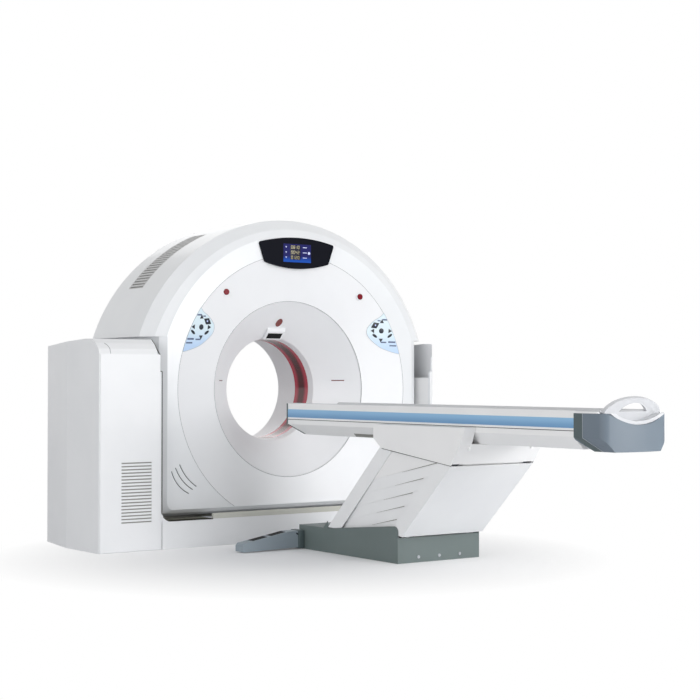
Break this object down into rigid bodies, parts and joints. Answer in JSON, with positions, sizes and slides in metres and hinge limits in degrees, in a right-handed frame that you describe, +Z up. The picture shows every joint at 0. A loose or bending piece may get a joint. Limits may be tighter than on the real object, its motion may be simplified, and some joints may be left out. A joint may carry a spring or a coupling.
{
  "type": "ct scanner",
  "caption": "Hospital CT scanner: a ring gantry that tilts between two floor towers, and a swing-arm patient couch with a sliding top.",
  "frame": {"origin": "on the floor under the isocentre, at the centre pad of the gantry's floor plate; the scan plane is Y = 0", "axes": "+Z up, +Y along the bore from the couch into the gantry, +X to the right seen from the couch"},
  "size_m": [2.654, 3.785, 2.0298],
  "materials": {
    "white_cover": "gloss",
    "tower_white": "gloss",
    "disc_white": "gloss",
    "vent_grey": "matte",
    "scan_red": "gloss",
    "navy_black": "gloss",
    "screen_blue": "gloss",
    "panel_blue": "satin",
    "lamp_red": "gloss",
    "button_red": "gloss",
    "smoked": "gloss",
    "frame_steel": "satin",
    "cast_drum": "satin",
    "tube_steel": "satin",
    "module_grey": "satin",
    "ring_brass": "satin",
    "belt_black": "matte",
    "strip_blue": "satin",
    "couch_white": "gloss",
    "column_white": "satin",
    "skirt_green": "satin",
    "cap_grey": "satin",
    "pedal_grey": "satin",
    "pedal_black": "matte",
    "cradle_white": "satin"
  },
  "bodies": {
    "base": {"base_floor_plate": "frame_steel", "left_post": "frame_steel", "right_post": "frame_steel", "front_plinth": "tower_white", "left_tower_cover": "tower_white", "left_front_panel": "tower_white", "right_tower_cover": "tower_white", "tilt_gearmotor": "module_grey", "electronics_cabinet": "module_grey", "couch_base_frame": "column_white", "couch_skirt": "skirt_green", "skirt_screws": "tube_steel", "pedal_housing": "pedal_grey", "lift_gearmotor": "module_grey"},
    "gantry": {"tilt_frame": "frame_steel", "front_cover": "white_cover", "front_disc": "disc_white", "front_funnel": "disc_white", "scan_window": "scan_red", "rear_funnel": "disc_white", "rear_cover": "white_cover", "vent_grille_left": "vent_grey", "vent_grille_right": "vent_grey", "display_bezel": "navy_black", "display_screen": "screen_blue", "control_panel_left": "panel_blue", "control_panel_right": "panel_blue", "indicator_lamp": "lamp_red", "sensor_housing": "disc_white", "sensor_window": "smoked", "laser_window_left": "lamp_red", "laser_window_right": "lamp_red", "drive_motor": "module_grey", "drive_belt": "belt_black"},
    "button_left": {"red_button_left": "button_red"},
    "button_right": {"red_button_right": "button_red"},
    "rotor": {"rotor_drum": "cast_drum", "xray_tube": "tube_steel", "collimator": "module_grey", "detector": "module_grey", "generator": "module_grey", "counterweight": "frame_steel", "slip_ring": "ring_brass"},
    "pulley": {"drive_pulley": "cast_drum"},
    "front_lift": {"front_arm": "frame_steel", "front_arm_cover": "column_white"},
    "rear_lift": {"rear_arm": "frame_steel", "rear_arm_cover": "column_white"},
    "low_shutter": {"shutter_1": "column_white"},
    "middle_shutter": {"shutter_2": "column_white"},
    "high_shutter": {"shutter_3": "column_white"},
    "table": {"saddle_housing": "couch_white", "table_body": "couch_white", "end_cap": "cap_grey", "side_strip_left": "strip_blue", "side_strip_right": "strip_blue"},
    "top": {"cradle": "cradle_white"},
    "pedal_outer": {"outer_pedal": "pedal_black"},
    "pedal_inner": {"inner_pedal": "pedal_black"}
  },
  "joints": [
    {"name": "gantry_tilt", "type": "hinge", "parent": "base", "child": "gantry", "pos_m": [0, 0, 0.948], "axis": [-1, 0, 0], "range_deg": [-30, 30]},
    {"name": "rotor_spin", "type": "hinge", "parent": "gantry", "child": "rotor", "pos_m": [0, 0, 0.948], "axis": [0, 1, 0], "continuous": true},
    {"name": "pulley_spin", "type": "hinge", "parent": "gantry", "child": "pulley", "pos_m": [-0.6, 0.13, 0.388], "axis": [0, 1, 0], "continuous": true},
    {"name": "left_button_press", "type": "slide", "parent": "gantry", "child": "button_left", "axis": [0, 1, 0], "range_m": [0, 0.004], "stiffness_N_per_m": 600, "springref_m": -0.001},
    {"name": "right_button_press", "type": "slide", "parent": "gantry", "child": "button_right", "axis": [0, 1, 0], "range_m": [0, 0.004], "stiffness_N_per_m": 600, "springref_m": -0.001},
    {"name": "couch_lift", "type": "hinge", "parent": "base", "child": "front_lift", "pos_m": [0, -1.373, 0.24], "axis": [-1, 0, 0], "range_deg": [-35.5, 12.5]},
    {"name": "rear_arm_swing", "type": "hinge", "parent": "base", "child": "rear_lift", "pos_m": [0, -1.905, 0.19], "axis": [-1, 0, 0], "range_deg": [-35.5, 12.5]},
    {"name": "table_level", "type": "hinge", "parent": "front_lift", "child": "table", "pos_m": [0, -1.79372, 0.63925], "axis": [-1, 0, 0], "range_deg": [-12.5, 35.5]},
    {"name": "low_shutter_level", "type": "hinge", "parent": "front_lift", "child": "low_shutter", "pos_m": [0, -1.47818, 0.33981], "axis": [-1, 0, 0], "range_deg": [-12.5, 35.5]},
    {"name": "middle_shutter_level", "type": "hinge", "parent": "front_lift", "child": "middle_shutter", "pos_m": [0, -1.58336, 0.43962], "axis": [-1, 0, 0], "range_deg": [-12.5, 35.5]},
    {"name": "high_shutter_level", "type": "hinge", "parent": "front_lift", "child": "high_shutter", "pos_m": [0, -1.68854, 0.53943], "axis": [-1, 0, 0], "range_deg": [-12.5, 35.5]},
    {"name": "top_slide", "type": "slide", "parent": "table", "child": "top", "axis": [0, 1, 0], "range_m": [0, 1.5]},
    {"name": "outer_pedal_press", "type": "hinge", "parent": "base", "child": "pedal_outer", "pos_m": [-0.5875, -0.896, 0.042], "axis": [1, 0, 0], "range_deg": [0, 4], "stiffness_Nm_per_rad": 40, "springref_deg": -1.15},
    {"name": "inner_pedal_press", "type": "hinge", "parent": "base", "child": "pedal_inner", "pos_m": [-0.4625, -0.896, 0.042], "axis": [1, 0, 0], "range_deg": [0, 4], "stiffness_Nm_per_rad": 40, "springref_deg": -1.15}
  ],
  "couplings": [
    {"joint": "pulley_spin", "follows": "rotor_spin", "ratio": 12.545},
    {"joint": "rear_arm_swing", "follows": "couch_lift", "ratio": 1},
    {"joint": "table_level", "follows": "couch_lift", "ratio": -1},
    {"joint": "low_shutter_level", "follows": "couch_lift", "ratio": -1},
    {"joint": "middle_shutter_level", "follows": "couch_lift", "ratio": -1},
    {"joint": "high_shutter_level", "follows": "couch_lift", "ratio": -1}
  ]
}
